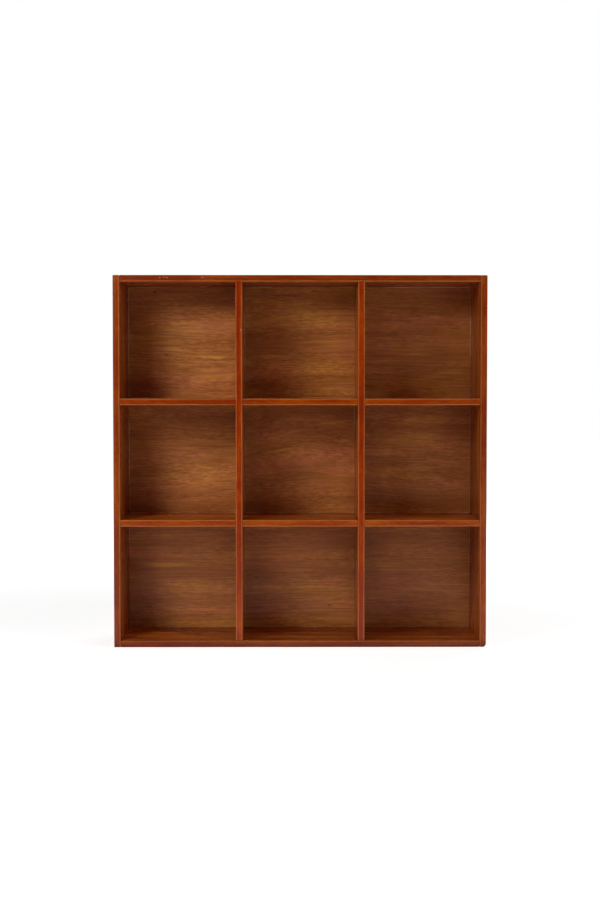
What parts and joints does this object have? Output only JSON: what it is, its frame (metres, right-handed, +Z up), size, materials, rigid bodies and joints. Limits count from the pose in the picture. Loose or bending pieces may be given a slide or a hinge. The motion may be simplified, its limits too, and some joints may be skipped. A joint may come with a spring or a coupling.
{
  "type": "nine-cell box shelf",
  "caption": "Shallow square wooden display shelf with a closed back and a square grid of open cells made by interlocking shelves and dividers.",
  "frame": {"origin": "on the underside, at the middle of the width and of the depth", "axes": "+X to the right as seen from the open front, +Y from the open front to the closed back, +Z up"},
  "size_m": [0.4, 0.1, 0.399],
  "materials": {
    "stained_wood": "satin varnish over a reddish-brown stain",
    "panel_plywood": "thinly varnished stained plywood",
    "brad_steel": "bright drawn wire"
  },
  "bodies": {
    "root": {"back_panel": "panel_plywood", "bottom_board": "stained_wood", "brad_back_bottom_1": "brad_steel", "brad_back_bottom_2": "brad_steel", "brad_back_bottom_3": "brad_steel", "brad_back_left_1": "brad_steel", "brad_back_left_2": "brad_steel", "brad_back_left_3": "brad_steel", "brad_back_left_divider": "brad_steel", "brad_back_lower_shelf": "brad_steel", "brad_back_right_1": "brad_steel", "brad_back_right_2": "brad_steel", "brad_back_right_3": "brad_steel", "brad_back_right_divider": "brad_steel", "brad_back_top_1": "brad_steel", "brad_back_top_2": "brad_steel", "brad_back_top_3": "brad_steel", "brad_back_upper_shelf": "brad_steel", "brad_bottom_board_left_divider_1": "brad_steel", "brad_bottom_board_left_divider_2": "brad_steel", "brad_bottom_board_right_divider_1": "brad_steel", "brad_bottom_board_right_divider_2": "brad_steel", "brad_left_side_bottom_board_1": "brad_steel", "brad_left_side_bottom_board_2": "brad_steel", "brad_left_side_bottom_board_3": "brad_steel", "brad_left_side_lower_shelf_1": "brad_steel", "brad_left_side_lower_shelf_2": "brad_steel", "brad_left_side_top_board_1": "brad_steel", "brad_left_side_top_board_2": "brad_steel", "brad_left_side_top_board_3": "brad_steel", "brad_left_side_upper_shelf_1": "brad_steel", "brad_left_side_upper_shelf_2": "brad_steel", "brad_right_side_bottom_board_1": "brad_steel", "brad_right_side_bottom_board_2": "brad_steel", "brad_right_side_bottom_board_3": "brad_steel", "brad_right_side_lower_shelf_1": "brad_steel", "brad_right_side_lower_shelf_2": "brad_steel", "brad_right_side_top_board_1": "brad_steel", "brad_right_side_top_board_2": "brad_steel", "brad_right_side_top_board_3": "brad_steel", "brad_right_side_upper_shelf_1": "brad_steel", "brad_right_side_upper_shelf_2": "brad_steel", "brad_top_board_left_divider_1": "brad_steel", "brad_top_board_left_divider_2": "brad_steel", "brad_top_board_right_divider_1": "brad_steel", "brad_top_board_right_divider_2": "brad_steel", "left_divider": "stained_wood", "left_side": "stained_wood", "lower_shelf": "stained_wood", "right_divider": "stained_wood", "right_side": "stained_wood", "top_board": "stained_wood", "upper_shelf": "stained_wood"}
  },
  "joints": []
}
